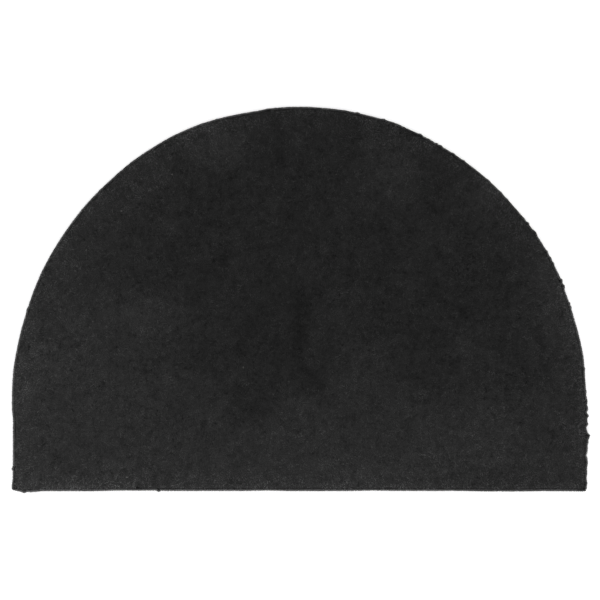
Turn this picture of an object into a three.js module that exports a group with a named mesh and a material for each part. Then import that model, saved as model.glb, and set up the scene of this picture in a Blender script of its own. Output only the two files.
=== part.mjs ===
import * as THREE from 'three';

// Half round coir doormat in millimetres, +Z up, lying flat on the floor.
// Coir pile is fused into a thin backing, and a knife cuts the shape out of it, so the mat is one piece.
// The straight edge faces -Y and the round edge +Y. The origin is under the mat's middle, at floor level.

const WIDTH = 600; // along the straight edge
const DEPTH = 400; // from the straight edge to the top of the round
const RADIUS = WIDTH / 2; // the round edge is a half circle
const SIDE = DEPTH - RADIUS; // short straight stretch below the half circle, on each side
const THICKNESS = 15; // floor to the tips of the pile
const BACKING = 2; // thickness of the sheet that holds the pile

const ROUND_STEP = 14; // walk along the round edge between two points, where it has no tuft
const STRAIGHT_STEP = 20; // the same along the straight edges
const CLOSEST = 0.7; // points nearer than this to the one before are left out
const CORNER_RADIUS = 1.5; // the knife leaves the two corners nearly sharp
const CORNER_ROOM = 6; // stretch next to a corner that the pile's drawn-in rim needs for itself
const BLACK_COIR = 0x262626;

// How far the cut strays out (+) or in (-) from the true straight line, by height up the right side.
const RIGHT_WANDER = [
  { at: 0, out: -0.9 },
  { at: 9, out: -0.2 },
  { at: 22, out: -0.1 },
  { at: 34, out: 0.3 },
  { at: 60, out: 0.3 },
  { at: 75, out: 0.1 },
  { at: 88, out: 0.1 },
  { at: 100, out: -1.1 },
];

// The same by angle round the half circle, in degrees from its right end.
const ROUND_WANDER = [
  { at: 0, out: -1.1 },
  { at: 3, out: -1.7 },
  { at: 8, out: -1.2 },
  { at: 13, out: -2.3 },
  { at: 17, out: -2.7 },
  { at: 21, out: -2.7 },
  { at: 25, out: -1.9 },
  { at: 33, out: -1.7 },
  { at: 37, out: -2.1 },
  { at: 42, out: -2.4 },
  { at: 48, out: -1.8 },
  { at: 60, out: -1.5 },
  { at: 67, out: -0.5 },
  { at: 71, out: 0.7 },
  { at: 75, out: 0.2 },
  { at: 83, out: 0.5 },
  { at: 92, out: 0.7 },
  { at: 96, out: 0.4 },
  { at: 98.5, out: -0.4 },
  { at: 101, out: -0.3 },
  { at: 106, out: 0.4 },
  { at: 110, out: 1.1 },
  { at: 116, out: 1 },
  { at: 121, out: 0.2 },
  { at: 126, out: -0.1 },
  { at: 131, out: -1.1 },
  { at: 138, out: -1.3 },
  { at: 145, out: -1.9 },
  { at: 155, out: -1.7 },
  { at: 163, out: -2 },
  { at: 170, out: -1.1 },
  { at: 175, out: 0.1 },
  { at: 180, out: 0.3 },
];

// The same by height up the left side.
const LEFT_WANDER = [
  { at: 0, out: 0.5 },
  { at: 6, out: 0.4 },
  { at: 12, out: -0.4 },
  { at: 20, out: -0.4 },
  { at: 28, out: -0.7 },
  { at: 76, out: -0.7 },
  { at: 84, out: 0.3 },
  { at: 100, out: 0.3 },
];

// The same along the straight front edge, by distance from its middle.
const FRONT_WANDER = [
  { at: -300, out: -0.8 },
  { at: -291, out: 0.9 },
  { at: -276, out: 1 },
  { at: -270, out: 0.2 },
  { at: -215, out: 0.2 },
  { at: -190, out: -0.4 },
  { at: -152, out: -0.4 },
  { at: -138, out: 0 },
  { at: -56, out: 0 },
  { at: -36, out: -0.4 },
  { at: -10, out: 0.1 },
  { at: 52, out: 0.1 },
  { at: 75, out: -0.4 },
  { at: 110, out: 0 },
  { at: 165, out: 0 },
  { at: 195, out: 0.5 },
  { at: 232, out: 0.5 },
  { at: 256, out: 0.1 },
  { at: 280, out: 0.3 },
  { at: 300, out: 0.5 },
];

// Tufts that stand out of the cut edge, and nicks where pile came off (negative reach).
// half is half of a tuft's length along the edge.
const RIGHT_TUFTS = [
  { at: 7, reach: 0.4, half: 3.5 },
  { at: 12.6, reach: -0.6, half: 4 },
  { at: 29, reach: 0.7, half: 3.5 },
  { at: 36.6, reach: -1.4, half: 2.8 },
  { at: 44, reach: 0.3, half: 3 },
  { at: 50.8, reach: 1.2, half: 3.2 },
  { at: 55.6, reach: 2.2, half: 4.5 },
  { at: 58, reach: 1.6, half: 2 },
  { at: 65, reach: -1.2, half: 3.6 },
  { at: 69.2, reach: 0.9, half: 2.4 },
  { at: 78, reach: 1.6, half: 2.8 },
  { at: 81.8, reach: -0.5, half: 1.4 },
  { at: 84.2, reach: 0.9, half: 1.8 },
  { at: 86.6, reach: 0.9, half: 2.2 },
  { at: 93.4, reach: 0.7, half: 3.4 },
];

const ROUND_TUFTS = [
  { at: 0.7, reach: 0.5, half: 3.2 },
  { at: 5.2, reach: 0.6, half: 2.4 },
  { at: 17.9, reach: 0.9, half: 2.4 },
  { at: 18.7, reach: 0.9, half: 1.8 },
  { at: 22.4, reach: 1.6, half: 4 },
  { at: 23.6, reach: 1.6, half: 2.8 },
  { at: 27.4, reach: 0.9, half: 2.6 },
  { at: 28.6, reach: 0.7, half: 3 },
  { at: 30, reach: 0.8, half: 3.2 },
  { at: 34.6, reach: 1.4, half: 4.6 },
  { at: 36.9, reach: 1.3, half: 2.2 },
  { at: 38.1, reach: 0.4, half: 2.4 },
  { at: 43.2, reach: 0.5, half: 3 },
  { at: 45.1, reach: 0.6, half: 2.4 },
  { at: 48.7, reach: 0.6, half: 3 },
  { at: 55, reach: 0.5, half: 2 },
  { at: 57.5, reach: 0.7, half: 2.4 },
  { at: 60.5, reach: 0.9, half: 2.8 },
  { at: 61.4, reach: 0.8, half: 2 },
  { at: 63.2, reach: 0.4, half: 2.4 },
  { at: 65.1, reach: 1.1, half: 2.8 },
  { at: 73, reach: 0.9, half: 2.8 },
  { at: 78.4, reach: 0.9, half: 2.6 },
  { at: 81, reach: 0.4, half: 3 },
  { at: 96.2, reach: 0.4, half: 3 },
  { at: 106.8, reach: 0.5, half: 2.6 },
  { at: 162.6, reach: 0.7, half: 3 },
];

const LEFT_TUFTS = [
  { at: 22.5, reach: 1.1, half: 2.8 },
];

const FRONT_TUFTS = [
  { at: -288, reach: 1.5, half: 3.4 },
  { at: -281, reach: 0.5, half: 2.4 },
  { at: -147.5, reach: 1.4, half: 2.6 },
];

// The wall from the floor up. inset is the distance inside the outline, and fray the share of a tuft's reach.
// The pile starts a little outside the backing's cut, leans out to its full reach and rounds off at the tips.
const WALL = [
  { height: 0, inset: 1.3, fray: 0 },
  { height: BACKING, inset: 1.3, fray: 0 },
  { height: BACKING, inset: 0.6, fray: 0.2 },
  { height: 7, inset: 0.2, fray: 0.7 },
  { height: 11.5, inset: 0, fray: 1 },
  { height: 14, inset: 0.5, fray: 0.9 },
  { height: THICKNESS, inset: 1.9, fray: 0.4 },
];

function wanderAt(table, at) {
  const next = table.findIndex((row) => row.at >= at);
  if (next === 0) return table[0].out;
  const a = table[next - 1];
  const b = table[next];
  const share = (at - a.at) / (b.at - a.at);
  const eased = share * share * (3 - 2 * share);
  return a.out + (b.out - a.out) * eased;
}

// perUnit is the walk in millimetres for one unit of at: 1 on a straight edge, more for a degree of the round.
function frayAt(tufts, at, perUnit) {
  let out = 0;
  for (const tuft of tufts) {
    const away = Math.abs(at - tuft.at) * perUnit / tuft.half;
    if (away < 1) out += tuft.reach * Math.cos(away * Math.PI / 2) ** 2;
  }
  return out;
}

// Places along an edge: an even walk, with the turns of the wander and the foot, the shoulders and the crown
// of each tuft put in.
function placesAlong(from, to, step, wander, tufts, perUnit) {
  const count = Math.round((to - from) * perUnit / step);
  const marks = wander.map((row) => row.at).filter((at) => at > from && at < to);
  for (const tuft of tufts) {
    for (const share of [-1, -0.5, 0, 0.5, 1]) {
      const at = tuft.at + share * tuft.half / perUnit;
      if (at > from && at < to) marks.push(at);
    }
  }
  for (let i = 0; i <= count; i++) {
    const at = from + (to - from) * i / count;
    const clear = marks.every((mark) => Math.abs(mark - at) * perUnit > step / 4);
    if (clear) marks.push(at);
  }
  marks.sort((a, b) => a - b);
  const kept = [marks[0]];
  for (const mark of marks) {
    if ((mark - kept[kept.length - 1]) * perUnit > CLOSEST) kept.push(mark);
  }
  return kept;
}

// A station is a point of the outline with its wander and tuft, and the way in which its wall leans out.
function station(x, y, leanX, leanY, wander, fray) {
  return { x, y, leanX, leanY, wander, fray };
}

function sideStations(sign, wander, tufts) {
  return placesAlong(CORNER_ROOM, SIDE - STRAIGHT_STEP / 4, STRAIGHT_STEP, wander, tufts, 1)
    .map((up) => station(sign * RADIUS, up - DEPTH / 2, sign, 0, wanderAt(wander, up), frayAt(tufts, up, 1)));
}

function roundStations() {
  const perDegree = RADIUS * Math.PI / 180;
  const centreY = DEPTH / 2 - RADIUS;
  return placesAlong(0, 180, ROUND_STEP, ROUND_WANDER, ROUND_TUFTS, perDegree).map((degrees) => {
    const angle = THREE.MathUtils.degToRad(degrees);
    const leanX = Math.cos(angle);
    const leanY = Math.sin(angle);
    const fray = frayAt(ROUND_TUFTS, degrees, perDegree);
    const wander = wanderAt(ROUND_WANDER, degrees);
    return station(RADIUS * leanX, centreY + RADIUS * leanY, leanX, leanY, wander, fray);
  });
}

function frontStations() {
  const end = WIDTH / 2 - CORNER_ROOM;
  return placesAlong(-end, end, STRAIGHT_STEP, FRONT_WANDER, FRONT_TUFTS, 1)
    .map((x) => station(x, -DEPTH / 2, 0, -1, wanderAt(FRONT_WANDER, x), frayAt(FRONT_TUFTS, x, 1)));
}

// Three points round a corner. Their wall leans out both ways, so that the rim keeps its corner.
function cornerStations(sign, sideWander, frontAt) {
  const sideOut = wanderAt(sideWander, 0);
  const frontOut = wanderAt(FRONT_WANDER, frontAt);
  const centreX = sign * (RADIUS + sideOut - CORNER_RADIUS);
  const centreY = -DEPTH / 2 - frontOut + CORNER_RADIUS;
  return [0, 45, 90].map((degrees) => {
    const angle = THREE.MathUtils.degToRad(degrees);
    const x = centreX + sign * CORNER_RADIUS * Math.cos(angle);
    const y = centreY - CORNER_RADIUS * Math.sin(angle);
    return station(x, y, sign, -1, 0, 0);
  });
}

// The whole outline, anticlockwise from the left corner of the straight edge.
function outlineStations() {
  const leftCorner = cornerStations(-1, LEFT_WANDER, -WIDTH / 2);
  const rightCorner = cornerStations(1, RIGHT_WANDER, WIDTH / 2);
  return [
    ...leftCorner,
    ...frontStations(),
    ...rightCorner.reverse(),
    ...sideStations(1, RIGHT_WANDER, RIGHT_TUFTS),
    ...roundStations(),
    ...sideStations(-1, LEFT_WANDER, LEFT_TUFTS).reverse(),
  ];
}

function ringAt(stations, row) {
  return stations.map((s) => {
    const out = s.wander + s.fray * row.fray - row.inset;
    return new THREE.Vector2(s.x + s.leanX * out, s.y + s.leanY * out);
  });
}

// Distance of the mat's centre of area from its straight edge: an oblong with a half disc on it.
function areaMiddle() {
  const oblong = WIDTH * SIDE;
  const halfDisc = Math.PI * RADIUS ** 2 / 2;
  const discMiddle = SIDE + 4 * RADIUS / (3 * Math.PI);
  return (oblong * SIDE / 2 + halfDisc * discMiddle) / (oblong + halfDisc);
}

// The solid between the rings. The flat underside and the flat top each fan out from the centre of area.
function matGeometry() {
  const stations = outlineStations();
  const count = stations.length;
  const positions = [];
  for (const row of WALL) {
    for (const p of ringAt(stations, row)) positions.push(p.x, p.y, row.height);
  }
  const under = WALL.length * count;
  const over = under + 1;
  const hubY = areaMiddle() - DEPTH / 2;
  positions.push(0, hubY, 0, 0, hubY, THICKNESS);
  const topRing = (WALL.length - 1) * count;
  const index = [];
  for (let i = 0; i < count; i++) {
    const next = (i + 1) % count;
    index.push(under, next, i);
    index.push(over, topRing + i, topRing + next);
    for (let ring = 0; ring < topRing; ring += count) {
      index.push(ring + i, ring + next, ring + next + count);
      index.push(ring + i, ring + next + count, ring + i + count);
    }
  }
  const geometry = new THREE.BufferGeometry();
  geometry.setAttribute('position', new THREE.Float32BufferAttribute(positions, 3));
  geometry.setIndex(index);
  geometry.computeBoundingBox();
  const middle = geometry.boundingBox.getCenter(new THREE.Vector3());
  geometry.translate(-middle.x, -middle.y, 0);
  geometry.computeVertexNormals();
  return geometry;
}

function coir() {
  return new THREE.MeshStandardMaterial({
    color: BLACK_COIR,
    roughness: 0.95,
    metalness: 0,
    flatShading: true,
  });
}

const doormat = new THREE.Group();
const mat = new THREE.Mesh(matGeometry(), coir());
mat.name = 'mat';
doormat.add(mat);

export default doormat;
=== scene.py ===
# %% [markdown]
# # A half round coir doormat
# The real mat is short, stiff coconut fibre, dyed black, that stands in a thin sheet of vinyl
# and is cut to a half round with a knife. What the eye sees is the pile: many thousands of fibre
# ends, a few light patches where feet and brushes have turned them, and a cut edge that frays
# into small tufts. The mat is built from the inside out: first the sheet with the dense bed of
# the pile on it, then the standing fibres, then the fibres of the cut edge, then the finishes.

# %% Start from the frame
import math

import bpy
import numpy as np
from mathutils.kdtree import KDTree
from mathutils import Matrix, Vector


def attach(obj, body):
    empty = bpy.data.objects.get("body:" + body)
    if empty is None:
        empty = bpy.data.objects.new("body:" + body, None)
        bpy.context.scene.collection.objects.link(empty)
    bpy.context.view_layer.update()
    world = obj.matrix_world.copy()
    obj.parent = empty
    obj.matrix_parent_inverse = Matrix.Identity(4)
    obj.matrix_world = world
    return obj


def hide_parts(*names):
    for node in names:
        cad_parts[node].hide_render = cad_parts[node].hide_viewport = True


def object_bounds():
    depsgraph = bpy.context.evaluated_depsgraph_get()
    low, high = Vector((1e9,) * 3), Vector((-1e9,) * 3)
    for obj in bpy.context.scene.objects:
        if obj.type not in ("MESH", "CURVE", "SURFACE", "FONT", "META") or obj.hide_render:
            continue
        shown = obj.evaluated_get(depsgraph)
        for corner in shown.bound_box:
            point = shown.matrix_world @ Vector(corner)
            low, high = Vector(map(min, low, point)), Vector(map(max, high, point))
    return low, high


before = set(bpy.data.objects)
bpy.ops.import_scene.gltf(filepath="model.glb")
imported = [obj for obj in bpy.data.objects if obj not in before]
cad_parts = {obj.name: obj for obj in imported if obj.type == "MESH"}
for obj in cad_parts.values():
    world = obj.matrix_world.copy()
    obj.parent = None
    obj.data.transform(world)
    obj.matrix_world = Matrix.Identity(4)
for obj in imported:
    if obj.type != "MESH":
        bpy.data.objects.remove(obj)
cad_low, cad_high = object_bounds()
MM = 0.001
print("the solid measures", [round((b - a) / MM, 1) for a, b in zip(cad_low, cad_high)], "mm")

# %% [markdown]
# ## The camera
# The photo looks straight down on the mat, with its round edge at the top. A short lens would
# show the wall of the mat on every side, which the photo doesn't, so a long lens looks down from
# high above, almost without perspective. The frame is a little wider than the mat, and its middle
# lies a little to the left of the mat's own middle. The camera comes first, so that every later
# step can be looked at through it.

# %% Camera
LENS = 85
SENSOR = 36
PILE_LEVEL = 12.5 * MM
FRAME_WIDTH = 626.8 * MM
CAMERA_X = -0.9 * MM
SEES_TO = 20

bpy.ops.object.camera_add(rotation=(0, 0, 0))
camera = bpy.context.object
camera.name = "camera"
camera.data.lens = LENS
camera.data.sensor_width = SENSOR
camera.data.clip_end = SEES_TO
camera.location = (CAMERA_X, 0, PILE_LEVEL + FRAME_WIDTH * LENS / SENSOR)
bpy.context.scene.camera = camera
print("camera height", round(camera.location.z, 3), "m")

# %% [markdown]
# ## Floor and light
# A plain white floor and one large soft light above give the shadowless look of the photo. Small
# lamps would give every fibre a hard shadow. So the light is as wide as a small room, and a pale
# world fills the sides. The colours go out by the standard view, which keeps a black mat black
# beside a white floor.

# %% Floor and light
FLOOR_SIZE = 30
LIGHT_SIZE = 3
LIGHT_PLACE = (0, -0.25, 2.2)
LIGHT_WATTS = 74
WORLD_WHITE = (1, 1, 1, 1)
WORLD_STRENGTH = 0.7

bpy.ops.mesh.primitive_plane_add(size=FLOOR_SIZE)
floor = bpy.context.object
floor.name = "floor"

bpy.ops.object.light_add(type="AREA", location=LIGHT_PLACE)
light = bpy.context.object
light.name = "soft_light"
light.data.shape = "SQUARE"
light.data.size = LIGHT_SIZE
light.data.energy = LIGHT_WATTS

world = bpy.data.worlds.new("pale_world")
world.use_nodes = True
sky = world.node_tree.nodes["Background"]
sky.inputs["Color"].default_value = WORLD_WHITE
sky.inputs["Strength"].default_value = WORLD_STRENGTH
bpy.context.scene.world = world
bpy.context.scene.view_settings.view_transform = "Standard"
print("light", LIGHT_WATTS, "W over", LIGHT_SIZE, "m")


# %% [markdown]
# ## Working as by hand
# Blender's operators act on whatever is selected, and the loaded solid is still selected. So
# every piece starts by clearing the selection, and its points or faces are then picked in code,
# by their place.

# %% Helpers for selecting
SELECT_AS = {"vertices": "VERT", "polygons": "FACE"}


def only(piece):
    """Selects this one object and makes it the active one."""
    bpy.ops.object.select_all(action="DESELECT")
    piece.select_set(True)
    bpy.context.view_layer.objects.active = piece


def pick(piece, kind, test):
    """Opens a piece in edit mode with only the vertices or faces selected that pass a test."""
    only(piece)
    bpy.ops.object.mode_set(mode="EDIT")
    bpy.ops.mesh.select_mode(type=SELECT_AS[kind])
    bpy.ops.mesh.select_all(action="DESELECT")
    bpy.ops.object.mode_set(mode="OBJECT")
    for part in getattr(piece.data, kind):
        part.select = bool(test(part))
    bpy.ops.object.mode_set(mode="EDIT")


# %% [markdown]
# ## The cut edge
# Everything follows the line of the knife: the bed ends at it, the pile stands inside it and the
# fraying sits on it. It could be drawn anew, but the solid already has it, with its wander, tufts
# and nicks, widest 11.5 mm above the floor. So a copy of the solid has its doubled points merged,
# the edges at that height are walked from end to end, and the walk is marked off every half
# millimetre.

# %% Join the solid's loose triangles
SAME = 0.01 * MM


def merged_copy(name, node):
    """A copy of a solid with its loose triangles joined into one skin."""
    piece = node.copy()
    piece.data = node.data.copy()
    piece.name = name
    piece.data.name = name
    piece.parent = None
    for key in list(piece.keys()):
        del piece[key]
    piece.data.materials.clear()
    bpy.context.scene.collection.objects.link(piece)
    only(piece)
    bpy.ops.object.mode_set(mode="EDIT")
    bpy.ops.mesh.select_all(action="SELECT")
    bpy.ops.mesh.remove_doubles(threshold=SAME)
    bpy.ops.object.mode_set(mode="OBJECT")
    return piece


mat_body = merged_copy("mat_body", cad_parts["mat"])
print("the merged copy has", len(mat_body.data.vertices), "points")

# %% Walk along the cut edge
RIM_LEVEL = 11.5 * MM
RIM_STEP = 0.5 * MM
SMOOTH_OVER = 9 * MM
RUN_OVER = 4


def walk_edges(mesh, level):
    """The points of the closed line that the edges at one height make, in order."""
    height = [v.co.z for v in mesh.vertices]
    near = {}
    for edge in mesh.edges:
        a, b = edge.vertices
        if abs(height[a] - level) < SAME and abs(height[b] - level) < SAME:
            near.setdefault(a, []).append(b)
            near.setdefault(b, []).append(a)
    first = min(near)
    line = [first, near[first][0]]
    while True:
        a, b = near[line[-1]]
        following = a if b == line[-2] else b
        if following == first:
            break
        line.append(following)
    return np.array([mesh.vertices[i].co[:2] for i in line])


def mark_off(line, step):
    """Points at even steps along a closed line, and the line's length."""
    closed = np.vstack([line, line[:1]])
    walked = np.concatenate([[0], np.cumsum(np.hypot(*np.diff(closed, axis=0).T))])
    places = np.linspace(0, walked[-1], round(walked[-1] / step), endpoint=False)
    points = np.stack([np.interp(places, walked, closed[:, k]) for k in (0, 1)], axis=1)
    return points, walked[-1]


def smooth_loop(values, width):
    """A running mean round the marked-off line, over this width to either side."""
    reach = round(width / RIM_STEP)
    total = sum(np.roll(values, k, axis=0) for k in range(-reach, reach + 1))
    return total / (2 * reach + 1)


def loop_area(line):
    """The area inside a closed line, more than 0 where it runs anticlockwise."""
    ahead = np.roll(line, -1, axis=0)
    return (line[:, 0] * ahead[:, 1] - line[:, 1] * ahead[:, 0]).sum() / 2


corner_line = walk_edges(mat_body.data, RIM_LEVEL)
if loop_area(corner_line) < 0:
    corner_line = corner_line[::-1]
rim, rim_length = mark_off(corner_line, RIM_STEP)
print("the cut edge is", round(rim_length, 3), "m long, marked off at", len(rim), "points")

# %% Which way is out, and how far inside
rim_even = smooth_loop(rim, SMOOTH_OVER)
rim_run = np.roll(rim_even, -RUN_OVER, axis=0) - np.roll(rim_even, RUN_OVER, axis=0)
rim_out = np.stack([rim_run[:, 1], -rim_run[:, 0]], axis=1)
rim_out /= np.hypot(*rim_out.T)[:, None]


def nearest_of(points, targets):
    """The number of the target that lies nearest to each point, in plan."""
    tree = KDTree(len(targets))
    for number, place in enumerate(targets):
        tree.insert((*place, 0), number)
    tree.balance()
    return np.array([tree.find((x, y, 0))[1] for x, y in points])


def inset_of(points):
    """How far inside the cut edge points lie (less than 0 outside), and their nearest rim point."""
    nearest = nearest_of(points, rim)
    away = rim[nearest] - points
    inside = np.einsum("ij,ij->i", away, rim_out[nearest])
    return np.copysign(np.hypot(*away.T), inside), nearest


middle_inset = inset_of(np.zeros((1, 2)))[0][0]
print("the mat's middle lies", round(middle_inset / MM), "mm inside the cut edge")

# %% [markdown]
# ## Backing and bed
# A coir mat is a sheet of vinyl a couple of millimetres thick with the fibres' lower ends set in
# it, and above it the fibres stand so close that they make a solid bed. It could be a plain slab,
# but its wall has to follow the knife, so it starts from the merged copy. Of that copy only the
# foot is kept, as one flat face. It is drawn up to the thickness of the vinyl, in by a little, up
# to the bed's shoulder, and up and in once more to its top, which leaves room for loose pile
# above it and at its side.

# %% Draw up the backing and the bed
BACKING = 2 * MM
BED_TOP = 10.6 * MM
BED_SHOULDER = 1.2 * MM
SHOULDER_LEVEL = BED_TOP - BED_SHOULDER
BED_FOOT_INSET = 0.3 * MM
SHOULDER_INSET = 0.9 * MM

half_size = (cad_high - cad_low) / 2


def raise_face(height, inset):
    """Extrudes the selected face by a height and draws its new end in towards the middle."""
    bpy.ops.mesh.extrude_region_move(TRANSFORM_OT_translate={"value": (0, 0, height)})
    bpy.ops.transform.resize(
        value=(1 - inset / half_size.x, 1 - inset / half_size.y, 1),
        center_override=(0, 0, 0),
    )


pick(mat_body, "polygons", lambda f: f.center.z > SAME)
bpy.ops.mesh.delete(type="FACE")
bpy.ops.mesh.select_all(action="SELECT")
bpy.ops.mesh.dissolve_faces()
raise_face(BACKING, 0)
raise_face(0, BED_FOOT_INSET)
raise_face(SHOULDER_LEVEL - BACKING, 0)
raise_face(BED_SHOULDER, SHOULDER_INSET)
bpy.ops.mesh.select_all(action="SELECT")
bpy.ops.mesh.normals_make_consistent(inside=False)
bpy.ops.object.mode_set(mode="OBJECT")
sheet_line = mark_off(walk_edges(mat_body.data, 0), RIM_STEP)[0]
print("bed", round(BED_TOP / MM, 1), "mm high,", len(mat_body.data.polygons), "faces")

# %% [markdown]
# ## An uneven bed
# The tops of the packed fibres are never level. Sculpting would make that by eye, but an even net
# of faces and two sizes of smooth random lumps give the same result at each run. The net is made
# by bisecting the bed along a lattice of planes. Where a cut falls right beside a corner, the two
# points are merged, so that no sliver is left. The top is turned to triangles and divided again.
# Over its foot the pile spreads a little, and it ends at the line of the knife. So the shoulder's
# points are moved to that line, or a hair past it, and the wall flares out to them.

# %% Cut the net
CUT_EVERY = 12 * MM
SLIVER = 0.8 * MM
DIVISIONS = 4
ON_TOP = BED_TOP - SAME


def cut_across(axis, every):
    """Bisects the piece in edit mode by planes at even steps along one axis."""
    normal = [0, 0, 0]
    normal[axis] = 1
    for place in np.arange(cad_low[axis] + every / 2, cad_high[axis], every):
        point = [0, 0, 0]
        point[axis] = place
        bpy.ops.mesh.select_all(action="SELECT")
        bpy.ops.mesh.bisect(plane_co=point, plane_no=normal)


only(mat_body)
bpy.ops.object.mode_set(mode="EDIT")
cut_across(0, CUT_EVERY)
cut_across(1, CUT_EVERY)
bpy.ops.object.mode_set(mode="OBJECT")
pick(mat_body, "vertices", lambda v: v.co.z > ON_TOP)
bpy.ops.mesh.remove_doubles(threshold=SLIVER)
bpy.ops.mesh.select_all(action="SELECT")
bpy.ops.mesh.quads_convert_to_tris()
bpy.ops.object.mode_set(mode="OBJECT")
pick(mat_body, "polygons", lambda f: f.center.z > ON_TOP)
bpy.ops.mesh.subdivide(number_cuts=DIVISIONS)
bpy.ops.object.mode_set(mode="OBJECT")
print("the net has", len(mat_body.data.vertices), "points")

# %% Make it lumpy and flare the wall
LUMPS = [
    {"width": 3 * MM, "height": 0.45 * MM},
    {"width": 8 * MM, "height": 0.25 * MM},
]
SHOULDER_PAST = 0.15 * MM
SMOOTH_UNDER = math.radians(50)
BED_SEED = 11


def soft_field(points, cell, rng):
    """A smooth random value from -1 to 1 at each point, that changes over about one cell."""
    low = points.min(axis=0)
    knots = rng.uniform(-1, 1, np.ceil((points.max(axis=0) - low) / cell).astype(int) + 3)
    place = (points - low) / cell
    corner = np.floor(place).astype(int)
    part = place - corner
    part = part * part * (3 - 2 * part)
    x, y = corner.T
    u, v = part.T
    near = knots[x, y] * (1 - u) + knots[x + 1, y] * u
    far = knots[x, y + 1] * (1 - u) + knots[x + 1, y + 1] * u
    return near * (1 - v) + far * v


rng = np.random.default_rng(BED_SEED)
bed = np.empty(len(mat_body.data.vertices) * 3)
mat_body.data.vertices.foreach_get("co", bed)
bed = bed.reshape(-1, 3)
on_top = bed[:, 2] > ON_TOP
on_shoulder = np.abs(bed[:, 2] - SHOULDER_LEVEL) < SAME
beside = inset_of(bed[on_shoulder, :2])[1]
bed[on_shoulder, :2] = rim[beside] + rim_out[beside] * SHOULDER_PAST
lumps = sum(lump["height"] * soft_field(bed[:, :2], lump["width"], rng) for lump in LUMPS)
bed[on_top, 2] += lumps[on_top]
mat_body.data.vertices.foreach_set("co", bed.ravel())
only(mat_body)
bpy.ops.object.mode_set(mode="EDIT")
bpy.ops.mesh.select_all(action="SELECT")
bpy.ops.mesh.remove_doubles(threshold=SAME)
bpy.ops.mesh.quads_convert_to_tris()
bpy.ops.object.mode_set(mode="OBJECT")
bpy.ops.object.shade_smooth_by_angle(angle=SMOOTH_UNDER)
print("backing and bed:", len(mat_body.data.polygons), "triangles")

# %% [markdown]
# ## Three fibres
# Coconut fibre is stiff and tapers to its end. A straight fibre, a bent one and a sheared one,
# which keeps its width nearly to the end, are modelled, each a unit high and a unit wide, and all
# others are copies of them. A curve with a bevel would be rounder, but none is a millimetre wide
# and there are well over a hundred thousand. So they are three-sided: a straight fibre is a spike
# of four triangles, and the others have a knee and ten.

# %% Model the three fibres
KNEE = 0.55
KNEE_WIDTH = 0.8
SHEARED_KNEE = 0.78
SHEARED_WIDTH = 0.92
END_WIDTH = 0.2


def model_fibre(name, steps):
    """Draws a flat triangle up by steps of height and width and closes its tip to a point.

    The model is taken away again, and its points and triangles are given back.
    """
    bpy.ops.object.select_all(action="DESELECT")
    bpy.ops.mesh.primitive_circle_add(vertices=3, radius=0.5, fill_type="NGON")
    piece = bpy.context.object
    piece.name = name
    bpy.ops.object.mode_set(mode="EDIT")
    bpy.ops.mesh.select_all(action="SELECT")
    for height, width in steps:
        bpy.ops.mesh.extrude_region_move(TRANSFORM_OT_translate={"value": (0, 0, height)})
        bpy.ops.transform.resize(value=(width, width, 1))
    bpy.ops.mesh.merge(type="CENTER")
    bpy.ops.mesh.select_all(action="SELECT")
    bpy.ops.mesh.normals_make_consistent(inside=False)
    bpy.ops.mesh.quads_convert_to_tris()
    bpy.ops.object.mode_set(mode="OBJECT")
    points = np.array([v.co for v in piece.data.vertices])
    faces = np.array([f.vertices for f in piece.data.polygons])
    bpy.data.objects.remove(piece)
    return points, faces


straight_fibre = model_fibre("spike", [(1, END_WIDTH)])
bent_fibre = model_fibre("knee", [(KNEE, KNEE_WIDTH), (1 - KNEE, END_WIDTH)])
sheared_fibre = model_fibre("stub", [(SHEARED_KNEE, SHEARED_WIDTH), (1 - SHEARED_KNEE, END_WIDTH)])
print("triangles of a straight, a bent and a sheared fibre:")
print(len(straight_fibre[1]), len(bent_fibre[1]), len(sheared_fibre[1]))

# %% [markdown]
# ## Planting
# Blender's hair would plant fibres too, but in the end each fibre has to be a mesh, with values
# and a map of its own, and arithmetic gives those directly. A copy's height runs from its root to
# its tip, its middle is pushed aside by the bow, and its width lies across that line, turned by
# chance. All copies of one kind are joined in one mesh. Each carries three values on its points
# for the material to read: its tone, how far up the fibre a point is, and how near the fibre
# stands to the cut edge. Each also has a small square of its own on the piece's map, with the
# root at the bottom.

# %% Bend a fibre from its root to its tip
def unit(vectors):
    """The same directions, each one long."""
    return vectors / np.linalg.norm(vectors, axis=1)[:, None]


def bend_copies(points, root, tip, bow, width, rng):
    """Where the points of each copy lie. The bow is full at mid height and nothing at the ends."""
    count = len(root)
    along = unit(tip - root)
    turn = rng.uniform(0, 2 * math.pi, count)
    any_way = np.stack([np.cos(turn), np.sin(turn), np.zeros(count)], axis=1)
    side = unit(np.cross(along, any_way))
    other = np.cross(along, side)
    up = points[:, 2][None, :, None]
    across_x = points[:, 0][None, :, None] * width[:, None, None]
    across_y = points[:, 1][None, :, None] * width[:, None, None]
    places = root[:, None] * (1 - up) + tip[:, None] * up + bow[:, None] * 4 * up * (1 - up)
    return places + side[:, None] * across_x + other[:, None] * across_y


# %% Give each copy its own square of the map
MAP_MARGIN = 0.08
BASE_STRIP = 0.12


def local_map(points, faces):
    """Where each corner of each triangle lies in a fibre's own square of the map."""
    spots = np.zeros((len(faces), 3, 2))
    for n, face in enumerate(faces):
        corners = points[face]
        if np.allclose(corners[:, 2], 0):
            spots[n] = [[0, 0], [1, 0], [0.5, BASE_STRIP]]
            continue
        centre = corners[:, :2].mean(axis=0)
        across = np.array([-centre[1], centre[0]])
        across /= np.hypot(*across)
        side = corners[:, :2] @ across
        spots[n, :, 0] = 0.5 + np.sign(np.round(side, 4)) * 0.5
        spots[n, :, 1] = BASE_STRIP + corners[:, 2] * (1 - BASE_STRIP)
    return spots


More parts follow.
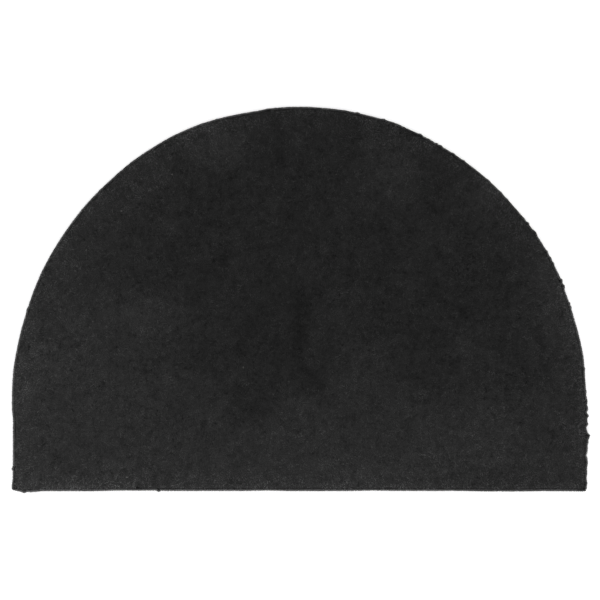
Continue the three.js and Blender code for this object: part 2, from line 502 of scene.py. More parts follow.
def map_copies(points, faces, count):
    """The same for all copies, in rows of squares that fill the map."""
    per_row = math.ceil(math.sqrt(count))
    square = np.stack([np.arange(count) % per_row, np.arange(count) // per_row], axis=1)
    spots = MAP_MARGIN + local_map(points, faces) * (1 - 2 * MAP_MARGIN)
    return (square[:, None, None] + spots[None]) / per_row


# %% Plant copies of a fibre
def plant(name, fibre, root, tip, bow, width, tone, edge, rng):
    """One mesh of copies of a fibre, one for each row of the arrays."""
    points, faces = fibre
    count = len(root)
    places = bend_copies(points, root, tip, bow, width, rng)
    shift = (np.arange(count) * len(points))[:, None, None]
    mesh = bpy.data.meshes.new(name)
    mesh.from_pydata(places.reshape(-1, 3), [], (faces[None] + shift).reshape(-1, 3))
    for key, values in (
        ("tone", np.repeat(tone, len(points))),
        ("up", np.tile(points[:, 2], count)),
        ("edge", np.repeat(edge, len(points))),
    ):
        on_points = mesh.attributes.new(key, "FLOAT", "POINT")
        on_points.data.foreach_set("value", values.astype(np.float32))
    spots = map_copies(points, faces, count)
    mesh.uv_layers.new(name="OFBake").uv.foreach_set("vector", spots.ravel().astype(np.float32))
    piece = bpy.data.objects.new(name, mesh)
    bpy.context.scene.collection.objects.link(piece)
    only(piece)
    bpy.ops.object.shade_smooth()
    print(name, count, "fibres,", len(mesh.polygons), "triangles")
    return piece


# %% [markdown]
# ## Where the fibres stand
# The needles that set the pile leave an even spacing. Roots drawn wholly by chance would clot and
# leave gaps, so they are an even triangular lattice with every point moved a little by chance.
# Roots close to the cut edge are left out, because the rows of the edge follow it more neatly
# than a lattice can.

# %% Roots
SPACING = 1.19 * MM
JITTER = 0.34
PILE_INSET = 2.4 * MM
PILE_SEED = 27


def lattice(spacing, past, jitter, rng):
    """A triangular lattice over the mat's box and a little past it, moved a little by chance."""
    across = np.arange(cad_low.x, cad_high.x + past, spacing)
    upward = np.arange(cad_low.y, cad_high.y + past, spacing * math.sqrt(3) / 2)
    points = np.stack(np.meshgrid(across, upward), axis=-1)
    points[1::2, :, 0] += spacing / 2
    points = points.reshape(-1, 2)
    return points + rng.uniform(-jitter, jitter, points.shape) * spacing


rng = np.random.default_rng(PILE_SEED)
roots = lattice(SPACING, 0, JITTER, rng)
inset, nearest = inset_of(roots)
standing = inset > PILE_INSET
roots, inset, nearest = roots[standing], inset[standing], nearest[standing]
print(len(roots), "roots at", round(SPACING / MM, 2), "mm")

# %% [markdown]
# ## Clumps and brushing
# Neighbours lean the same way, which is what makes a brushed patch, and a few of them stick
# together in a clump. Leaning each fibre by chance alone would look like fur in a storm. So every
# root belongs to the nearest of a wider lattice of clumps, which pulls its tip and has a tone of
# its own, and a slow swirl with a quicker ruffle on it gives the way that the pile is brushed.

# %% Clumps, swirl and cloud
CLUMP_SPACING = 3.1 * MM
CLUMP_JITTER = 0.4
CLUMP_TONE = 0.34
CLUMP_TONES = (-0.5, 0.8)
SWIRL = 34 * MM
RUFFLE = 7 * MM
RUFFLE_SHARE = 0.7
CLOUD = 6 * MM

centres = lattice(CLUMP_SPACING, CLUMP_SPACING, CLUMP_JITTER, rng)
clump = nearest_of(roots, centres)
to_clump = centres[clump] - roots
clump_tone = np.clip(rng.normal(0, CLUMP_TONE, len(centres)), *CLUMP_TONES)[clump]
swirl = np.stack([soft_field(roots, SWIRL, rng) for _ in (0, 1)], axis=1)
ruffle = np.stack([soft_field(roots, RUFFLE, rng) for _ in (0, 1)], axis=1)
brushed = swirl + RUFFLE_SHARE * ruffle
cloudy = soft_field(roots, CLOUD, rng)
print(len(centres), "clumps at", round(CLUMP_SPACING / MM, 1), "mm")

# %% [markdown]
# ## Four kinds of fibre
# Sheared pile isn't even. Some fibres stand nearly upright, as many lean where they were brushed,
# as many short ones fill the gaps, and a few are bent over. One kind with more chance in it would
# give neither the gaps nor the long stray ones. So each kind is a row of a table, with its lengths
# in millimetres, and each root draws its kind by chance. A fibre near the cut edge splays out, but
# its tip never passes the edge.

# %% The table of kinds
KINDS = [
    {"name": "pile_upright", "share": 0.295, "tip": 14.85, "uneven": 0.28,
     "lean": 0.5, "own": 0.6, "pull": 0.45, "width": 0.64},
    {"name": "pile_leaning", "share": 0.295, "tip": 14.3, "uneven": 0.4,
     "lean": 1.3, "own": 1.1, "pull": 0.35, "width": 0.62},
    {"name": "pile_filling", "share": 0.295, "tip": 13.2, "uneven": 0.6,
     "lean": 0.7, "own": 1.2, "pull": 0.2, "width": 0.74},
    {"name": "pile_bent", "share": 0.115, "tip": 14.4, "uneven": 0.4,
     "lean": 1.4, "own": 1.5, "pull": 0.2, "width": 0.56},
]
ROOT_LEVEL = 9.6 * MM
TIP_LEVELS = (11.8 * MM, 15.4 * MM)
WIDTHS = (0.8, 1.2)
SPLAY = 0.9 * MM
SPLAY_REACH = 5 * MM
TIP_INSET = 0.6 * MM


def lean_of(kind, mine, rng):
    """How far aside of their roots the tips of one kind lie."""
    splay = rim_out[nearest[mine]] * (SPLAY * np.exp(-inset[mine] / SPLAY_REACH))[:, None]
    own = rng.normal(0, kind["own"] * MM, (mine.sum(), 2))
    lean = brushed[mine] * kind["lean"] * MM + own + splay
    return lean + to_clump[mine] * kind["pull"]


def tips_of(mine, lean):
    """Where those tips end up, with what would pass the cut edge drawn back."""
    out = rim_out[nearest[mine]]
    past = np.maximum(0, (lean * out).sum(axis=1) - (inset[mine] - TIP_INSET))
    return roots[mine] + lean - out * past[:, None]


print("shares add up to", round(sum(kind["share"] for kind in KINDS), 3))

# %% Plant the pile
BENT_BACK = -0.35
BENT_OWN = 0.3 * MM
BENT_RISE = 0.35 * MM
FIBRE_TONE = 0.29
CLOUD_TONE = 0.34
TONES = (0.15, 2.6)
# How far in from the cut edge the painted highlight on the pile fades away.
EDGE_HIGHLIGHT_REACH = 18 * MM

draw = rng.uniform(0, 1, len(roots))
share_from = 0
pile = []
for kind in KINDS:
    mine = (draw >= share_from) & (draw < share_from + kind["share"])
    share_from += kind["share"]
    count = mine.sum()
    is_bent = kind["name"] == "pile_bent"
    lean = lean_of(kind, mine, rng)
    tip_level = kind["tip"] * MM + rng.normal(0, kind["uneven"] * MM, count)
    bow = np.zeros((count, 3))
    if is_bent:
        bow[:, :2] = BENT_BACK * lean + rng.normal(0, BENT_OWN, (count, 2))
        bow[:, 2] = BENT_RISE
    tone = 1 + rng.normal(0, FIBRE_TONE, count) + clump_tone[mine] + CLOUD_TONE * cloudy[mine]
    piece = plant(
        kind["name"],
        bent_fibre if is_bent else straight_fibre,
        np.column_stack([roots[mine], np.full(count, ROOT_LEVEL)]),
        np.column_stack([tips_of(mine, lean), np.clip(tip_level, *TIP_LEVELS)]),
        bow,
        kind["width"] * MM * rng.uniform(*WIDTHS, count),
        np.clip(tone, *TONES),
        np.exp(-inset[mine] / EDGE_HIGHLIGHT_REACH),
        rng,
    )
    pile.append(piece)

# %% [markdown]
# ## The fibres of the cut edge
# The knife opens the pile from the side: there the fibres show at full length, side by side from
# the vinyl up. A pattern of fibres on a wall would show none of them against the floor, so they
# are planted one by one. They start at the sheet's own edge and bow out to the line of the knife.
# Three rows stand along it, each a little further in and taller than the one before, so that the
# edge is rounded as the real one is, and each is lighter, because more light reaches it.

# %% The rows, and where they stand
ROWS = [
    {"foot": 0.1, "knee": -0.45, "tip": -0.15, "height": 13.9, "uneven": 0.3, "tone": 0.5},
    {"foot": 0.3, "knee": 0.15, "tip": 0.45, "height": 14.5, "uneven": 0.3, "tone": 1.15},
    {"foot": 0.7, "knee": 0.9, "tip": 1.2, "height": 14.9, "uneven": 0.3, "tone": 1.65},
]
ROW_SPACING = 0.44 * MM
ROW_JITTER = 0.35
ROW_FOOT = 1.9 * MM
ROW_WILD = 0.08 * MM
TIP_WILD = 1.2
TIP_ALONG = 0.6 * MM
ROW_SEED = 41

rim_feet = sheet_line[nearest_of(rim, sheet_line)]


def stand_row(row, count, rng):
    """The root, tip and bow of each fibre of one row. The bow makes it pass through its knee."""
    step = np.arange(count) / count * len(rim) + rng.uniform(-ROW_JITTER, ROW_JITTER, count)
    spot = step.astype(int) % len(rim)
    out = rim_out[spot]
    along = np.stack([-out[:, 1], out[:, 0]], axis=1)
    wild = rng.normal(0, ROW_WILD, (count, 3))
    foot = rim_feet[spot] - out * (row["foot"] * MM)
    knee = rim[spot] - out * (row["knee"] * MM + wild[:, :1])
    tip = rim[spot] - out * (row["tip"] * MM + TIP_WILD * wild[:, 1:2])
    tip = tip + along * rng.normal(0, TIP_ALONG, (count, 1))
    level = (row["height"] + rng.normal(0, row["uneven"], count)) * MM
    straight = foot * (1 - SHEARED_KNEE) + tip * SHEARED_KNEE
    bow = (knee - straight) / (4 * SHEARED_KNEE * (1 - SHEARED_KNEE))
    root = np.column_stack([foot, np.full(count, ROW_FOOT)])
    return root, np.column_stack([tip, level]), np.column_stack([bow, np.zeros(count)])


row_count = round(rim_length / ROW_SPACING)
print(len(ROWS), "rows of", row_count, "fibres")

# %% Plant the rows of the edge
ROW_WIDTH = 0.56 * MM
ROW_TONE = 0.18
ROW_TONES = (0.1, 2.4)

rng = np.random.default_rng(ROW_SEED)
stood = []
row_tones = []
for row in ROWS:
    stood.append(stand_row(row, row_count, rng))
    tone = row["tone"] * (1 + rng.normal(0, ROW_TONE, row_count))
    row_tones.append(np.clip(tone, *ROW_TONES))
row_root, row_tip, row_bow = (np.concatenate(parts) for parts in zip(*stood))
rim_fibres = plant(
    "rim_fibres",
    sheared_fibre,
    row_root,
    row_tip,
    row_bow,
    ROW_WIDTH * rng.uniform(*WIDTHS, len(row_root)),
    np.concatenate(row_tones),
    np.ones(len(row_root)),
    rng,
)

# %% [markdown]
# ## Frayed tufts
# Where the knife tore the pile, a tuft of fibres stands out of the edge. They could be placed one
# by one, but the solid's own line shows where they are: it runs outside its own running mean
# there. More and wilder fibres are planted at such a place, the more the further it stands out.
# Their feet start on the edge of the sheet, some millimetres up, and their lengths, levels and
# widths are drawn between two ends.

# %% Plant the tufts
FRAY_FROM = 0.22 * MM
FRAY_MEAN_OVER = 14 * MM
FRAY_COUNT = 900
FRAY_ALONG = 1.3 * MM
FRAY_BOW = 0.15 * MM
# Painted shade: the tufts stand low beside the pile's wall, so their fibres are painted darker than
# the pile's.
FRAY_SHADE_TONE = 0.55
FRAY_TONE_OWN = 0.12
FRAY_TONES = (0.2, 1)
FRAY_EDGE = 0.4
FRAY_SEED = 53
TUFT = {
    "foot_in": (-0.3, 1.1),
    "reach": (-0.7, 0.2),
    "foot_level": (7, 11),
    "tip_level": (9.5, 14.8),
    "rise": (0, 0.7),
    "width": (0.35, 0.6),
}

rng = np.random.default_rng(FRAY_SEED)


def between(key, *shape):
    """Random values in millimetres between the two ends that a tuft's table gives."""
    return rng.uniform(*TUFT[key], shape)


stands_out = ((rim - smooth_loop(rim, FRAY_MEAN_OVER)) * rim_out).sum(axis=1)
weight = np.clip(stands_out - FRAY_FROM, 0, None)
spot = rng.choice(len(rim), FRAY_COUNT, p=weight / weight.sum())
out = rim_out[spot]
along = np.stack([-out[:, 1], out[:, 0]], axis=1)
foot = rim_feet[spot] - out * between("foot_in", FRAY_COUNT, 1) * MM
reach = between("reach", FRAY_COUNT, 1) * MM
tip = rim[spot] + out * reach + along * rng.normal(0, FRAY_ALONG, (FRAY_COUNT, 1))
frayed = plant(
    "rim_tufts",
    bent_fibre,
    np.column_stack([foot, between("foot_level", FRAY_COUNT) * MM]),
    np.column_stack([tip, between("tip_level", FRAY_COUNT) * MM]),
    np.column_stack([out * FRAY_BOW, between("rise", FRAY_COUNT) * MM]),
    between("width", FRAY_COUNT) * MM,
    np.clip(FRAY_SHADE_TONE + rng.normal(0, FRAY_TONE_OWN, FRAY_COUNT), *FRAY_TONES),
    np.full(FRAY_COUNT, FRAY_EDGE),
    rng,
)

# %% [markdown]
# ## Pale fibres
# A few coconut fibres never take the dye. They lie on the pile as short pale threads. Most are
# alone and hardly show, and where a few lie together they show from above as a speck. A light
# spot in the material would be flat from the side, so they are fibres too: bundles of three at
# the photo's specks, and strays by chance.

# %% Plant the pale fibres
SPECKS = [
    {"x": -150, "y": 118},
    {"x": -187, "y": 93},
    {"x": -224, "y": 52},
    {"x": -134, "y": 131},
    {"x": -217, "y": -22},
    {"x": -60, "y": -70},
    {"x": -275, "y": -117},
]
IN_A_SPECK = 3
SPECK_SPREAD = 0.3 * MM
STRAYS = 40
STRAY_TONES = (0.45, 0.8)
PALE_LENGTHS = (1.4, 2.4)
PALE_LEVELS = (14, 14.7)
PALE_WIDTHS = (0.3, 0.42)
PALE_RISE = 0.5 * MM
PALE_BOW = 0.15 * MM
PALE_HUMP = 0.3 * MM
PALE_SEED = 67

rng = np.random.default_rng(PALE_SEED)
strays = roots[rng.choice(len(roots), STRAYS)]
specks = np.repeat([[s["x"] * MM, s["y"] * MM] for s in SPECKS], IN_A_SPECK, axis=0)
specks = specks + rng.normal(0, SPECK_SPREAD, specks.shape)
spots = np.vstack([specks, strays])
count = len(spots)
length = rng.uniform(*PALE_LENGTHS, count) * MM
turn = rng.uniform(0, 2 * math.pi, count)
run = np.stack([np.cos(turn), np.sin(turn)], axis=1) * length[:, None] / 2
low_end = rng.uniform(*PALE_LEVELS, count) * MM
pale_fibres = plant(
    "pale_fibres",
    bent_fibre,
    np.column_stack([spots - run, low_end]),
    np.column_stack([spots + run, low_end + PALE_RISE]),
    np.column_stack([rng.normal(0, PALE_BOW, (count, 2)), np.full(count, PALE_HUMP)]),
    rng.uniform(*PALE_WIDTHS, count) * MM,
    np.concatenate([np.ones(len(specks)), rng.uniform(*STRAY_TONES, STRAYS)]),
    np.zeros(count),
    rng,
)


# %% [markdown]
# ## Working with nodes
# A material is a chain of nodes, and most of them are one of a few kinds. The helpers add a node
# and join its inputs in one call: an input is given either the output of another node or a plain
# value. What is the same all over a surface is set on the shader itself.

# %% Helpers for nodes
def add_node(tree, kind, inputs=(), **settings):
    """A node with its settings, and its inputs by name or number, linked or plain."""
    node = tree.nodes.new(kind)
    for key, value in settings.items():
        setattr(node, key, value)
    for key, part in dict(inputs).items():
        if isinstance(part, bpy.types.NodeSocket):
            tree.links.new(part, node.inputs[key])
        else:
            node.inputs[key].default_value = part
    return node


def combine(tree, operation, *parts):
    """The result of a Math node."""
    inputs = dict(enumerate(parts))
    return add_node(tree, "ShaderNodeMath", inputs, operation=operation).outputs[0]


def combine_vectors(tree, operation, *parts):
    """The result of a Vector Math node."""
    inputs = dict(enumerate(parts))
    return add_node(tree, "ShaderNodeVectorMath", inputs, operation=operation).outputs["Vector"]


def scale_vector(tree, vector, amount):
    """A vector or a colour times one number."""
    inputs = {0: vector, "Scale": amount}
    return add_node(tree, "ShaderNodeVectorMath", inputs, operation="SCALE").outputs["Vector"]


def spread(tree, value, start, end, low, high, **settings):
    """A Map Range node: from low at the start to high at the end."""
    inputs = {"Value": value, "From Min": start, "From Max": end, "To Min": low, "To Max": high}
    return add_node(tree, "ShaderNodeMapRange", inputs, **settings).outputs["Result"]


def mix_colours(tree, factor, first, second):
    """From the first colour to the second as the factor goes from 0 to 1."""
    inputs = {"Factor": factor, "A": first, "B": second}
    return add_node(tree, "ShaderNodeMix", inputs, data_type="RGBA").outputs["Result"]


def place_on(tree):
    """Where a point lies on the mat."""
    return add_node(tree, "ShaderNodeTexCoord").outputs["Object"]


def read(tree, name):
    """What a point attribute says."""
    return add_node(tree, "ShaderNodeAttribute", attribute_name=name).outputs["Fac"]


def grey(level):
    """A neutral colour of one level."""
    return (level, level, level, 1)


# %% Helpers for groups and materials
NUMBER = "NodeSocketFloat"
COLOUR = "NodeSocketColor"


def new_group(name, inputs, outputs):
    """An empty node group with named inputs and outputs, and its two end nodes."""
    tree = bpy.data.node_groups.new(name, "ShaderNodeTree")
    for label, (kind, value) in inputs.items():
        socket = tree.interface.new_socket(label, in_out="INPUT", socket_type=kind)
        socket.default_value = value
    for label, kind in outputs.items():
        tree.interface.new_socket(label, in_out="OUTPUT", socket_type=kind)
    return tree, tree.nodes.new("NodeGroupInput"), tree.nodes.new("NodeGroupOutput")


def new_material(name, **shader_values):
    """A material with its Principled shader, and the values that are the same all over."""
    material = bpy.data.materials.new(name)
    material.use_nodes = True
    shader = material.node_tree.nodes["Principled BSDF"]
    for key, value in shader_values.items():
        shader.inputs[key.replace("_", " ")].default_value = value
    return material, material.node_tree, shader


# %% [markdown]
# ## Cloudy tone and painted light
# Black coir is never one black. Its tone is cloudy all over, and on top of that the colour carries
# painted light: it is lighter on its left, at its right end, along the cut edge and at the front.
# That is painted light falling from the front and the left, and a painted sheen where the brushed
# pile leans into the light. Noise alone would put the patches anywhere, and painting them needs a
# picture. So a cloudy noise in several sizes is added to a few soft ellipses of painted light and
# sheen, some lighter and some darker, each with its place and size on the mat in millimetres, and
# to a painted slope of light towards the front. A second noise moves their edges about, so that no
# ellipse shows. All this is a node group, because the pile, the edge and the bed show the same
# cloud and painted light.

# %% Where the patches are
# Ellipses of painted light and painted sheen: a gain above 0 paints the mat lighter, one below 0
# darker.
PAINTED_LIGHT_PATCHES = [
    {"x": -275, "y": -50, "rx": 250, "ry": 145, "gain": 0.63},
    {"x": -215, "y": 90, "rx": 115, "ry": 80, "gain": 0.39},
    {"x": -160, "y": -12, "rx": 68, "ry": 32, "gain": 0.29},
    {"x": -250, "y": 20, "rx": 60, "ry": 40, "gain": 0.11},
    {"x": -88, "y": 165, "rx": 68, "ry": 46, "gain": 0.48},
    {"x": -150, "y": 140, "rx": 60, "ry": 40, "gain": 0.2},
    {"x": 96, "y": 134, "rx": 52, "ry": 64, "gain": 0.37},
    {"x": 188, "y": 108, "rx": 45, "ry": 42, "gain": 0.3},
    {"x": 160, "y": 62, "rx": 60, "ry": 36, "gain": 0.14},
    {"x": 62, "y": -70, "rx": 45, "ry": 52, "gain": 0.27},
    {"x": 180, "y": -52, "rx": 55, "ry": 40, "gain": 0.16},
    {"x": 292, "y": 10, "rx": 95, "ry": 140, "gain": 0.55},
    {"x": 0, "y": -30, "rx": 18, "ry": 78, "gain": -0.29},
    {"x": 8, "y": -85, "rx": 22, "ry": 34, "gain": -0.16},
    {"x": -55, "y": -108, "rx": 58, "ry": 34, "gain": -0.3},
    {"x": 22, "y": -90, "rx": 26, "ry": 22, "gain": -0.24},
    {"x": -215, "y": -188, "rx": 110, "ry": 28, "gain": 0.26},
    {"x": -292, "y": -190, "rx": 34, "ry": 34, "gain": 0.18},
    {"x": -298, "y": -70, "rx": 17, "ry": 56, "gain": 0.26},
    {"x": -284, "y": 0, "rx": 22, "ry": 46, "gain": 0.24},
    {"x": -260, "y": 52, "rx": 24, "ry": 32, "gain": 0.16},
    {"x": 122, "y": 176, "rx": 42, "ry": 20, "gain": -0.22},
    {"x": 285, "y": -145, "rx": 50, "ry": 70, "gain": -0.2},
    {"x": 205, "y": -194, "rx": 150, "ry": 28, "gain": -0.32},
]
# A painted slope of light: the mat is painted lighter towards its front, where the light falls
# from.
FRONT_LIGHT_SLOPE = [
    {"y": -40, "gain": 0.0},
    {"y": -75, "gain": 0.07},
    {"y": -105, "gain": 0.33},
    {"y": -150, "gain": 0.54},
    {"y": -192, "gain": 0.6},
    {"y": -198, "gain": 0.85},
]
print(len(PAINTED_LIGHT_PATCHES), "patches and a slope of", len(FRONT_LIGHT_SLOPE) - 1, "stretches")

# %% Node group for the patches
CLOUD_WIDTH = 34 * MM
CLOUD_DETAIL = 4
CLOUD_ROUGHNESS = 0.9
DRIFT = 16 * MM
DRIFT_WIDTH = 30 * MM
DRIFT_DETAIL = 4


def drifted(tree, place, drift):
    """The place, moved about by a noise, at most by about half the drift."""
    noise = {"Vector": place, "Scale": 1 / DRIFT_WIDTH, "Detail": DRIFT_DETAIL}
    colours = add_node(tree, "ShaderNodeTexNoise", noise).outputs["Color"]
    centred = combine_vectors(tree, "SUBTRACT", colours, (0.5, 0.5, 0.5))
    return combine_vectors(tree, "ADD", place, scale_vector(tree, centred, drift))


def soft_patch(tree, place, patch):
    """A patch's gain in its middle, which fades to nothing at its radii."""
    middle = (patch["x"] * MM, patch["y"] * MM, 0)
    one_radius = (1 / (patch["rx"] * MM), 1 / (patch["ry"] * MM), 0)
    from_middle = combine_vectors(tree, "SUBTRACT", place, middle)
    in_radii = combine_vectors(tree, "MULTIPLY", from_middle, one_radius)
    length = add_node(tree, "ShaderNodeVectorMath", {0: in_radii}, operation="LENGTH")
    distance = length.outputs["Value"]
    return spread(tree, distance, 0, 1, patch["gain"], 0, interpolation_type="SMOOTHSTEP")


def patches_group():
    """The node group: 1 on plain black, more where light and sheen are painted, and less on the
    darker patches.
    """
    tree, given, put_out = new_group(
        "light_and_dark_patches",
        {"Cloud": (NUMBER, 0.3), "Drift": (NUMBER, DRIFT)},
        {"Tone": NUMBER},
    )
    place = place_on(tree)
    noise = {
        "Vector": place,
        "Scale": 1 / CLOUD_WIDTH,
        "Detail": CLOUD_DETAIL,
        "Roughness": CLOUD_ROUGHNESS,
    }
    cloud = add_node(tree, "ShaderNodeTexNoise", noise).outputs["Fac"]
    centred = combine(tree, "SUBTRACT", cloud, 0.5)
    tone = combine(tree, "MULTIPLY_ADD", centred, given.outputs["Cloud"], 1.0)
    moved = drifted(tree, place, given.outputs["Drift"])
    for patch in PAINTED_LIGHT_PATCHES:
        tone = combine(tree, "ADD", tone, soft_patch(tree, moved, patch))
    forward = add_node(tree, "ShaderNodeSeparateXYZ", {0: moved}).outputs["Y"]
    for near, far in zip(FRONT_LIGHT_SLOPE, FRONT_LIGHT_SLOPE[1:]):
        gain = far["gain"] - near["gain"]
        rise = spread(tree, forward, near["y"] * MM, far["y"] * MM, 0, gain)
        tone = combine(tree, "ADD", tone, rise)
    tree.links.new(tone, put_out.inputs["Tone"])
    return tree


patches = patches_group()
print("patches group:", len(patches.nodes), "nodes")

# %% [markdown]
# ## The fibre's finish
# A dyed fibre is a matte black with a trace of shine along its side. Its root lies in the dark of
# the pile, so the colour runs from darker to lighter along it as painted shade, and the tip is a
# little smoother, worn by shearing and by shoes. The tone of each fibre, the patches of cloud and
# painted light and a painted highlight along the cut edge are multiplied together. A picture
# wrapped on each fibre could do it too, but three values on its points are enough. Pile and edge
# share this as one node group, each with its own values.

# %% Node group for a worn fibre
ROOT_ROUGHNESS = 0.9
TIP_ROUGHNESS = 0.68
CLOSE_POWER = 3.7


def fibre_group():
    """The node group: a fibre's colour and roughness from the values on its points."""
    tree, given, put_out = new_group(
        "worn_fibre",
        {
            "Root": (COLOUR, grey(0)),
            "Tip": (COLOUR, grey(0)),
            "Wide Glow": (NUMBER, 0),
            "Close Glow": (NUMBER, 0),
            "Patch": (NUMBER, 1),
        },
        {"Color": COLOUR, "Roughness": NUMBER},
    )
    up = read(tree, "up")
    edge = read(tree, "edge")
    # Painted shade: the colour is darker towards the root, deep in the pile.
    along = mix_colours(tree, up, given.outputs["Root"], given.outputs["Tip"])
    # Painted highlight: fibres near the cut edge are painted lighter, most of all right at it.
    wide = combine(tree, "MULTIPLY_ADD", edge, given.outputs["Wide Glow"], 1.0)
    close = combine(tree, "POWER", edge, CLOSE_POWER)
    rimmed = combine(tree, "MULTIPLY_ADD", close, given.outputs["Close Glow"], wide)
    tone = combine(tree, "MULTIPLY", read(tree, "tone"), given.outputs["Patch"])
    tone = combine(tree, "MULTIPLY", tone, rimmed)
    tree.links.new(scale_vector(tree, along, tone), put_out.inputs["Color"])
    dull = spread(tree, up, 0, 1, ROOT_ROUGHNESS, TIP_ROUGHNESS)
    tree.links.new(dull, put_out.inputs["Roughness"])
    return tree


worn_fibre = fibre_group()
print("fibre group:", len(worn_fibre.nodes), "nodes")

# %% Materials of the pile and of the edge
FIBRE_SHINE = 0.03
SHADED_ROOT_BLACK = grey(0.013)
TIP_BLACK = grey(0.031)
# Strength of the painted highlight along the cut edge, on the pile and on the edge's own fibres.
PILE_EDGE_HIGHLIGHT = 0.68
PILE_CLOUD = 2.0
RIM_EDGE_HIGHLIGHT = 0.38
RIM_CLOUD = 0.9
CLOSE_SHARE = 1.7


def patch_tone(tree, cloud):
    """The patches group, placed in a material with its own strength of cloud."""
    return add_node(tree, "ShaderNodeGroup", {"Cloud": cloud}, node_tree=patches).outputs["Tone"]


def fibre_material(name, glow, cloud):
    """A material of dyed fibre, with its own painted highlight at the cut edge and its own cloud.
    """
    material, tree, shader = new_material(name, Specular_IOR_Level=FIBRE_SHINE)
    inputs = {
        "Root": SHADED_ROOT_BLACK,
        "Tip": TIP_BLACK,
        "Wide Glow": glow,
        "Close Glow": CLOSE_SHARE * glow,
        "Patch": patch_tone(tree, cloud),
    }
    worn = add_node(tree, "ShaderNodeGroup", inputs, node_tree=worn_fibre)
    tree.links.new(worn.outputs["Color"], shader.inputs["Base Color"])
    tree.links.new(worn.outputs["Roughness"], shader.inputs["Roughness"])
    return material


coir_fibre = fibre_material("coir_fibre", PILE_EDGE_HIGHLIGHT, PILE_CLOUD)
edge_fibre = fibre_material("edge_fibre", RIM_EDGE_HIGHLIGHT, RIM_CLOUD)
for piece in pile:
    piece.data.materials.append(coir_fibre)
rim_fibres.data.materials.append(edge_fibre)
frayed.data.materials.append(edge_fibre)
print("fibre materials done")

# %% [markdown]
# ## The pale fibre's finish
# Undyed coir is a dull light brown, but in these few fibres some dye has stuck, so they are grey.
# One grey would look like plastic thread, so a fine noise streaks each fibre between two.

# %% Material of the pale fibres
PALE = (0.14, 0.139, 0.135, 1)
PALE_DARK = (0.08, 0.079, 0.077, 1)
STREAK_WIDTH = 0.6 * MM
STREAK_DETAIL = 2

pale, tree, shader = new_material("pale_fibre", Specular_IOR_Level=0.2, Roughness=0.85)
noise = {"Vector": place_on(tree), "Scale": 1 / STREAK_WIDTH, "Detail": STREAK_DETAIL}
streak = add_node(tree, "ShaderNodeTexNoise", noise).outputs["Fac"]
colour = mix_colours(tree, streak, PALE_DARK, PALE)
colour = scale_vector(tree, colour, read(tree, "tone"))
tree.links.new(colour, shader.inputs["Base Color"])
pale_fibres.data.materials.append(pale)
print("pale material done")

# %% [markdown]
# ## The finish of bed and backing
# One skin shows two stuffs: packed fibre above, and black vinyl for the lowest two millimetres and
# the underside. Two pieces would need a seam that the fused mat doesn't have, so a mask by height
# parts them on one. The fibre side is a net of packed fibre ends, each with its own tone and with
# painted shade in the gaps between them, drawn out up and down on the wall. The vinyl is smoother
# and a little shinier, with the fine pebble of a pressed sheet.

# %% Mask and patterns of the bed and the backing
BLEND = 0.1 * MM
ENDS_WIDTH = 0.6 * MM
ENDS_FROM = 0.15
ENDS_TO = 0.7
PEBBLE_WIDTH = 1.1 * MM

bed_skin, tree, shader = new_material("bed_and_backing", Specular_IOR_Level=0.05)
place = place_on(tree)
height = add_node(tree, "ShaderNodeSeparateXYZ", {0: place}).outputs["Z"]
is_bed = spread(tree, height, BACKING - BLEND, BACKING + BLEND, 0, 1)
packed = add_node(
    tree,
    "ShaderNodeTexVoronoi",
    {"Vector": place, "Scale": 1 / ENDS_WIDTH},
    voronoi_dimensions="2D",
)
ends = spread(tree, packed.outputs["Distance"], ENDS_FROM, ENDS_TO, 1, 0)
own = add_node(tree, "ShaderNodeSeparateXYZ", {0: packed.outputs["Color"]}).outputs["X"]
cells = {"Vector": place, "Scale": 1 / PEBBLE_WIDTH}
pebble = add_node(tree, "ShaderNodeTexVoronoi", cells).outputs["Distance"]
print("bed patterns done")

# %% Material of the bed and the backing
BED_BLACK = grey(0.012)
VINYL_BLACK = grey(0.02)
END_GAIN = 0.9
GAP_SHADE = 0.35
OWN_GAIN = 0.55
BED_CLOUD = 0.9
VINYL_ROUGHNESS = 0.55
BED_ROUGHNESS = 0.9
RELIEF_STRENGTH = 0.5
RELIEF_DEPTH = 0.4 * MM

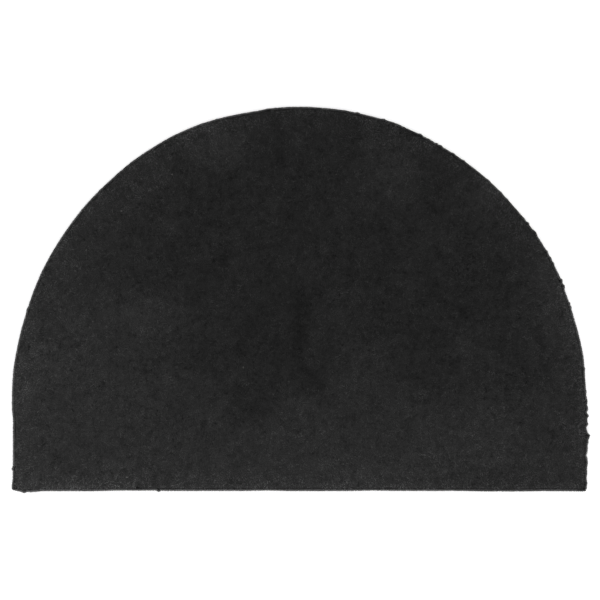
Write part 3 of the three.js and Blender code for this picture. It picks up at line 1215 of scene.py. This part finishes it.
# Painted shade: the gaps between the fibre ends are darker; each end also has its own tone.
ends_and_gap_shade = combine(tree, "MULTIPLY_ADD", ends, END_GAIN, GAP_SHADE)
ends_and_gap_shade = combine(tree, "MULTIPLY_ADD", own, OWN_GAIN, ends_and_gap_shade)
tone = combine(tree, "MULTIPLY", ends_and_gap_shade, patch_tone(tree, BED_CLOUD))
colour = mix_colours(tree, is_bed, VINYL_BLACK, BED_BLACK)
tree.links.new(scale_vector(tree, colour, tone), shader.inputs["Base Color"])
dull = spread(tree, is_bed, 0, 1, VINYL_ROUGHNESS, BED_ROUGHNESS)
tree.links.new(dull, shader.inputs["Roughness"])
sides = {"Factor": is_bed, "A": pebble, "B": ends}
relief = add_node(tree, "ShaderNodeMix", sides, data_type="FLOAT").outputs["Result"]
bumps = {"Strength": RELIEF_STRENGTH, "Distance": RELIEF_DEPTH, "Height": relief}
bump = add_node(tree, "ShaderNodeBump", bumps)
tree.links.new(bump.outputs["Normal"], shader.inputs["Normal"])
mat_body.data.materials.append(bed_skin)
print("bed and backing material done")

# %% [markdown]
# ## The floor's finish
# The mat lies on plain white. One flat colour would do from above, but from low down a floor with
# no grain at all looks like empty air. So a fine noise goes between two whites.

# %% Material of the floor
FLOOR_WHITE = grey(0.92)
FLOOR_DIMMER = grey(0.88)
FLOOR_GRAIN = 25 * MM
FLOOR_DETAIL = 3

floor_white, tree, shader = new_material("floor_white", Roughness=0.95, Specular_IOR_Level=0.1)
noise = {"Vector": place_on(tree), "Scale": 1 / FLOOR_GRAIN, "Detail": FLOOR_DETAIL}
speckle = add_node(tree, "ShaderNodeTexNoise", noise).outputs["Fac"]
whites = mix_colours(tree, speckle, FLOOR_DIMMER, FLOOR_WHITE)
tree.links.new(whites, shader.inputs["Base Color"])
floor.data.materials.append(floor_white)
print("floor material done")

# %% [markdown]
# ## Handing the pieces to the frame
# Nothing on the mat moves, so every piece rides on its one body. The backing and bed stand for
# the solid, and the fibres belong to that sheet. The sheet was cut from 600 by 400 mm of matting,
# and its area is what lies inside the cut edge.

# %% Ride and replace
fibres = [*pile, rim_fibres, frayed, pale_fibres]
for piece in [mat_body, *fibres]:
    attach(piece, "root")
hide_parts("mat")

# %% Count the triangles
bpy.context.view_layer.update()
total = sum(len(piece.data.polygons) for piece in [mat_body, *fibres])
print("triangles in all:", total)
